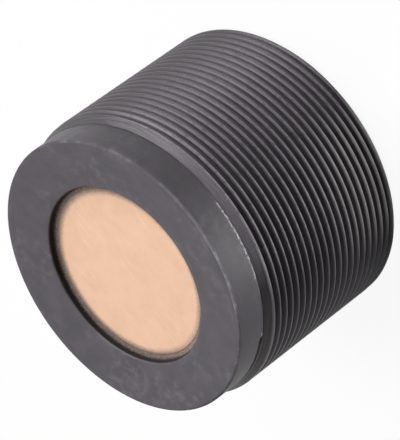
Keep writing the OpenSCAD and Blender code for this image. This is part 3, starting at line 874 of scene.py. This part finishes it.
class SENSOR_OT_backing(bpy.types.Operator):
    """Soft foam block behind the piezo disc, with its recess and its holes for the leads"""

    bl_idname = "sensor.backing"
    bl_label = "Backing foam"

    def execute(self, context):
        sizes = context.scene.sensor.face
        mesh = bpy.data.meshes.new("backing_draft")
        work = bmesh.new()
        work.from_mesh(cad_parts["backing_foam"].data)
        bmesh.ops.remove_doubles(work, verts=work.verts, dist=MERGE_MM * MM)
        work.to_mesh(mesh)
        work.free()
        draft = add_object("backing_draft", mesh)
        remesh = draft.modifiers.new("cells", "REMESH")
        remesh.mode = "VOXEL"
        remesh.voxel_size = sizes.cell * MM
        mesh = bpy.data.meshes.new_from_object(draft.evaluated_get(context.evaluated_depsgraph_get()))
        bpy.data.objects.remove(draft)
        work = bmesh.new()
        work.from_mesh(mesh)
        for _ in range(SMOOTH_ROUNDS):
            bmesh.ops.smooth_vert(work, verts=work.verts, factor=0.5, use_axis_x=True, use_axis_y=True,
                                  use_axis_z=True)
        work.to_mesh(mesh)
        work.free()
        self.dent(mesh)
        hand_over("backing_block", mesh, foam_finish("backing", srgb(98, 90, 80)),
                  ["backing_foam"])
        return {"FINISHED"}

    def dent(self, mesh):
        """Moves each point inwards along its normal by 0.05 mm plus 0.04 mm times the product of three
        sines, as cut foam is uneven."""
        points = np.empty(3 * len(mesh.vertices), np.float32)
        normals = np.empty_like(points)
        mesh.vertices.foreach_get("co", points)
        mesh.vertex_normals.foreach_get("vector", normals)
        points, normals = points.reshape(-1, 3) / MM, normals.reshape(-1, 3)
        waves = np.prod(np.sin(points * np.array([1.9, 2.3, 2.7]) + np.array([0.4, 1.3, 2.1])), axis=1)
        moved = points - normals * (0.05 + 0.04 * waves)[:, None]
        mesh.vertices.foreach_set("co", (moved * MM).ravel().astype(np.float32))
        mesh.update()


class SENSOR_OT_rear(bpy.types.Operator):
    """Connector with its real thread, and the transformer's winding"""

    bl_idname = "sensor.rear"
    bl_label = "Connector and winding"

    def execute(self, context):
        sizes = context.scene.sensor.rear
        plated = metal_finish("plated_metal", srgb(196, 194, 188))
        add_piece("connector_thread", self.connector(sizes), plated, ["connector_shell"])
        add_piece("wire_winding", self.winding(sizes), wire_finish("winding"),
                  ["transformer_winding"])
        return {"FINISHED"}

    def connector(self, sizes):
        """Shell of the connector: a thread outside, a flange inside the cover and a bore with a key rib."""
        tip, top = PLUG_BOX[0][2], PLUG_BOX[1][2]
        cover_low, cover_top = COVER_BOX[0][2], COVER_BOX[1][2]
        outer, flange, bore = PLUG_RADIUS, PLUG_BOX[1][0], PLUG_BORE
        neck, shank = outer - sizes.plug_pitch * THREAD_DEPTH, outer + SHANK_STEP
        end, face = cover_low + BOSS - PLUG_RELIEF, cover_low + BOSS - INSERT_DROP
        thread_top = end - PLUG_SHOULDER
        ends = [(outer - TIP_CHAMFER, tip), (outer, tip + TIP_CHAMFER), (outer, thread_top), (neck, end),
                (neck, cover_low)]
        rest = [(shank, cover_low), (shank, cover_top), (flange - FLANGE_ROUND, cover_top),
                (flange, cover_top + FLANGE_ROUND), (flange, top - MOUTH_CHAMFER),
                (flange - MOUTH_CHAMFER, top), (INSERT_SEAT, top), (INSERT_SEAT, face), (bore, face),
                (bore, tip + KEY_FULL), (bore, tip + KEY_END), (bore, tip + BORE_LEAD),
                (bore + BORE_OPENS, tip)]

        def key_rib(angle, radius, z):
            """The bore drawn in at +X, above the tip: full depth in the middle, with a smooth step beside."""
            across = np.abs(np.sin(angle)) * bore
            here = (np.cos(angle) > 0) & (np.abs(radius - bore) < 0.01) & (z > tip + KEY_MIDDLE)
            return np.where(here, -KEY_DEPTH * smooth((KEY_HALF_WIDTH - across) / KEY_SLOPE), 0)

        return helical_shell(outer, sizes.plug_pitch, THREAD_DEPTH, thread_groove, ends,
                             thread_top - sizes.plug_pitch * PLUG_CREST, rest, sizes.columns, inner=key_rib)

    def winding(self, sizes):
        """Winding of the transformer: one layer of round wire on its core's post."""
        low, high = WINDING_BOX
        middle = (low + high) / 2
        coil, half_wire = (high[0] - low[0]) / 2, sizes.wire / 2
        bottom, lid = low[2], high[2]
        ends = [(coil - half_wire, bottom), (coil, bottom + half_wire), (coil, lid - half_wire),
                (coil - half_wire, lid)]
        rest = [(CORE_POST, lid), (CORE_POST, bottom)]
        return helical_shell(coil, sizes.wire, 0.5, wire_groove, ends, bottom, rest, 64,
                             steps=WIRE_STEPS, centre=(middle[0], middle[1]))


def node_finishes():
    """The finish of each CAD node that stays, by node."""
    rubber = moulded_finish("seal_rubber", srgb(34, 34, 35), 0.1, 0.8, 0.55, 0.01)
    board = laminate_finish("board_laminate")
    chip = moulded_finish("chip_body", srgb(44, 44, 47), 0.08, 0.9, 0.5, 0.012)
    contact = metal_finish("contact_metal", srgb(214, 178, 96), 0.24)
    return {
        "ring_seal": rubber, "cover_seal": rubber, "connector_seal": rubber,
        "piezo_disc": moulded_finish("piezo_ceramic", srgb(203, 198, 182), 0.2, 2.2, 0.6, 0.015, 0.06),
        "transducer_cup": metal_finish("drawn_metal", srgb(190, 190, 186), 0.3),
        "transducer_leads": moulded_finish("lead_insulation", srgb(176, 62, 44), 0.1, 0.8, 0.4, 0.006),
        "temperature_sensor": chip, "controller_chip": chip, "echo_amplifier": chip, "chip_resistors": chip,
        "voltage_regulator": chip, "output_transistor": chip,
        "front_board": board, "rear_board": board,
        "board_carrier": moulded_finish("carrier_plastic", srgb(138, 140, 137), 0.15, 2, 0.5, 0.012, 0.08),
        "transformer_core": moulded_finish("ferrite", srgb(62, 62, 66), 0.12, 0.7, 0.6, 0.03),
        "tantalum_capacitors": moulded_finish("capacitor_body", srgb(203, 140, 46), 0.1, 0.8, 0.45, 0.01,
                                              0.1),
        "chip_capacitors": moulded_finish("capacitor_ceramic", srgb(168, 142, 106), 0.1, 0.6, 0.5, 0.01, 0.1),
        "header_strip": moulded_finish("insert_plastic", srgb(36, 37, 40), 0.12, 1, 0.48, 0.01),
        "contact_insert": moulded_finish("insert_black", srgb(36, 37, 40), 0.12, 1, 0.48, 0.01),
        "header_pins": contact, "contact_pins": contact,
        "status_led": clear_finish("led_resin", srgb(242, 232, 160)),
        "light_guide": clear_finish("guide_resin", srgb(214, 230, 208)),
        "potting": moulded_finish("potting_resin", srgb(40, 36, 33), 0.4, 3, 0.3, 0.02),
        "rear_cover": moulded_finish("cover_plastic", srgb(80, 78, 81), 0.18, 2.4, 0.46, 0.02, 0.12),
    }


class SENSOR_OT_finishes(bpy.types.Operator):
    """Finish of every CAD node that stays"""

    bl_idname = "sensor.finishes"
    bl_label = "Finishes of the CAD parts"

    def execute(self, context):
        for node, finish in node_finishes().items():
            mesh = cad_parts[node].data
            mesh.materials.clear()
            mesh.materials.append(finish)
        return {"FINISHED"}


# The photograph's camera: its place, its right and its up, and its lens, all lengths in mm
CAMERA_AT = (-0.015, -457.453, 364.03)
CAMERA_RIGHT = (-0.5909, -0.4860, -0.6440)
CAMERA_UP = (0.8069, -0.3559, -0.4716)
CAMERA_LENS, CAMERA_SENSOR = 294.5, 36

# The studio's shade towards the camera and towards -X: where it begins, where it is full, and how deep.
# FILL is its strength outside gloss.
FRONT_WAY = (0.0, -0.798, 0.602)
FRONT_SHADE = (0.0, 0.75, 0.88)
LOW_SHADE = (0.1, 0.9, 0.45)
FILL = 0.55

# Area lamps: name, direction from the sensor, distance and width in mm, and power in watts. Spot lamp over
# the floor: name, place, radius of its patch and of the lamp in mm, and power in watts
LAMPS = (("key_lamp", (0.40, 0.08, 0.91), 900, 460, 6.8),
         ("side_lamp", (0.86, -0.3, 0.38), 900, 420, 3.6))
REFLECTOR = ("floor_lamp", (-34, -66, 400), 34, 20, 44)

# Middle of the sensor in metres; the floor's radius in metres, its steps, its depth as a share of its
# radius, and how far it shows as plain white
SENSOR_MIDDLE = (0, 0, 0.019)
FLOOR_RADIUS, FLOOR_STEPS, FLOOR_DROP, FLOOR_WHITE = 3.0, 96, 0.00001, 0.92


class SENSOR_OT_stage(bpy.types.Operator):
    """Camera, lights, world and floor"""

    bl_idname = "sensor.stage"
    bl_label = "Stage"

    def execute(self, context):
        scene = context.scene
        scene.view_settings.view_transform = "Standard"
        self.camera(scene)
        self.world(scene)
        self.floor(scene)
        for lamp in LAMPS:
            self.lamp(*lamp)
        self.reflector(*REFLECTOR)
        return {"FINISHED"}

    def camera(self, scene):
        """The photograph's camera, which looks down on the sensing face and is rolled."""
        data = bpy.data.cameras.new("camera")
        data.lens, data.sensor_width = CAMERA_LENS, CAMERA_SENSOR
        data.clip_start, data.clip_end = 0.01, 50
        camera = add_object("camera", data)
        right, up = Vector(CAMERA_RIGHT).normalized(), Vector(CAMERA_UP)
        back = right.cross(up).normalized()
        up = back.cross(right)
        turn = Matrix((right, up, back)).transposed()
        camera.matrix_world = Matrix.Translation(Vector(CAMERA_AT) * MM) @ turn.to_4x4()
        scene.camera = camera

    def world(self, scene):
        """Soft light from all round, which shows white behind the object and in its gloss, and is darker on
        the camera's side, as a studio is."""
        scene.world = bpy.data.worlds.new("studio")
        g = Graph(scene.world)
        way = g.add("ShaderNodeTexCoord")("Generated")
        front = g.add("ShaderNodeVectorMath", {"operation": "DOT_PRODUCT"},
                      {0: way, 1: FRONT_WAY})("Value")
        low = g.add("ShaderNodeSeparateXYZ", None, {"Vector": way})("X") * -1.0
        shade = 1 - front.rise(*FRONT_SHADE[:2]) * FRONT_SHADE[2]
        shade = shade * (1 - low.rise(*LOW_SHADE[:2]) * LOW_SHADE[2])
        path = g.add("ShaderNodeLightPath")
        plain = path("Is Camera Ray").sum("MAXIMUM", path("Is Transmission Ray"))
        glossy = path("Is Glossy Ray")
        studio = shade * (glossy + (1 - glossy) * FILL)
        level = plain + (1 - plain) * studio
        light = g.add("ShaderNodeBackground", None, {"Color": (1, 1, 1), "Strength": level})("Background")
        g.add("ShaderNodeOutputWorld", None, {"Surface": light})

    def floor(self, scene):
        """Pale round floor at the rear rim. It takes the object's shadow, and shows near white."""
        f = Finish("floor")
        colour = scene.sensor.colours.floor
        tone = f.mix(f.noise(60, 2), scaled(colour, 0.97), colour)
        diffuse = f.add("ShaderNodeBsdfDiffuse", None, {"Color": tone})("BSDF")
        white = f.add("ShaderNodeEmission", None, {"Color": (1, 1, 1), "Strength": 1.0})("Emission")
        seen = f.add("ShaderNodeLightPath")("Is Camera Ray")
        both = f.add("ShaderNodeMixShader", None, {0: seen * FLOOR_WHITE, 1: diffuse, 2: white})(0)
        f.add("ShaderNodeOutputMaterial", None, {"Surface": both})
        angle = columns_round(FLOOR_STEPS)
        ring = np.stack([np.cos(angle), np.sin(angle), np.full(FLOOR_STEPS, -FLOOR_DROP)], axis=1)
        mesh = bpy.data.meshes.new("floor")
        mesh.from_pydata((ring * FLOOR_RADIUS).tolist(), [], [list(range(FLOOR_STEPS))])
        mesh.materials.append(f.material)
        add_object("floor", mesh)

    def lamp(self, name, towards, distance, size, power):
        """A square soft lamp, distance away from the object and turned to it."""
        data = bpy.data.lights.new(name, "AREA")
        data.size = size * MM
        data.energy = power
        lamp = add_object(name, data)
        place = Vector(towards).normalized() * distance * MM + Vector(SENSOR_MIDDLE)
        turn = (place - Vector(SENSOR_MIDDLE)).to_track_quat("Z", "Y").to_matrix().to_4x4()
        lamp.matrix_world = Matrix.Translation(place) @ turn

    def reflector(self, name, place, radius, lamp_radius, power):
        """A narrow spot that points straight down. Its bright patch on the floor lights the sensor from
        below."""
        data = bpy.data.lights.new(name, "SPOT")
        data.spot_size = 2 * math.atan(radius / place[2])
        data.spot_blend = 1.0
        data.shadow_soft_size = lamp_radius * MM
        data.energy = power
        add_object(name, data).location = [c * MM for c in place]


class SENSOR_PT_panel(bpy.types.Panel):
    """Buttons for each piece"""

    bl_label = "Ultrasonic sensor"
    bl_idname = "SENSOR_PT_panel"
    bl_space_type = "VIEW_3D"
    bl_region_type = "UI"
    bl_category = "Sensor"

    def draw(self, context):
        for group in ("sleeve", "ring", "face", "rear", "colours"):
            box = self.layout.box()
            box.label(text=group.capitalize())
            settings = getattr(context.scene.sensor, group)
            for key in settings.__annotations__:
                box.prop(settings, key)
        for operator in OPERATORS:
            self.layout.operator(operator.bl_idname)


GROUPS = (SleeveSizes, RingSizes, FaceSizes, RearSizes, Colours, SensorSettings)
OPERATORS = (SENSOR_OT_stage, SENSOR_OT_sleeve, SENSOR_OT_ring, SENSOR_OT_face, SENSOR_OT_backing,
             SENSOR_OT_rear, SENSOR_OT_finishes)


def register():
    """Registers the sizes, the operators and the panel."""
    for cls in GROUPS + OPERATORS + (SENSOR_PT_panel,):
        bpy.utils.register_class(cls)
    bpy.types.Scene.sensor = PointerProperty(type=SensorSettings)


def unregister():
    """Takes back what register added."""
    del bpy.types.Scene.sensor
    for cls in reversed(GROUPS + OPERATORS + (SENSOR_PT_panel,)):
        bpy.utils.unregister_class(cls)


def main():
    """Registers the add-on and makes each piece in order."""
    register()
    bpy.ops.sensor.stage()
    bpy.ops.sensor.sleeve()
    bpy.ops.sensor.ring()
    bpy.ops.sensor.face()
    bpy.ops.sensor.backing()
    bpy.ops.sensor.rear()
    bpy.ops.sensor.finishes()


if __name__ == "__main__":
    main()
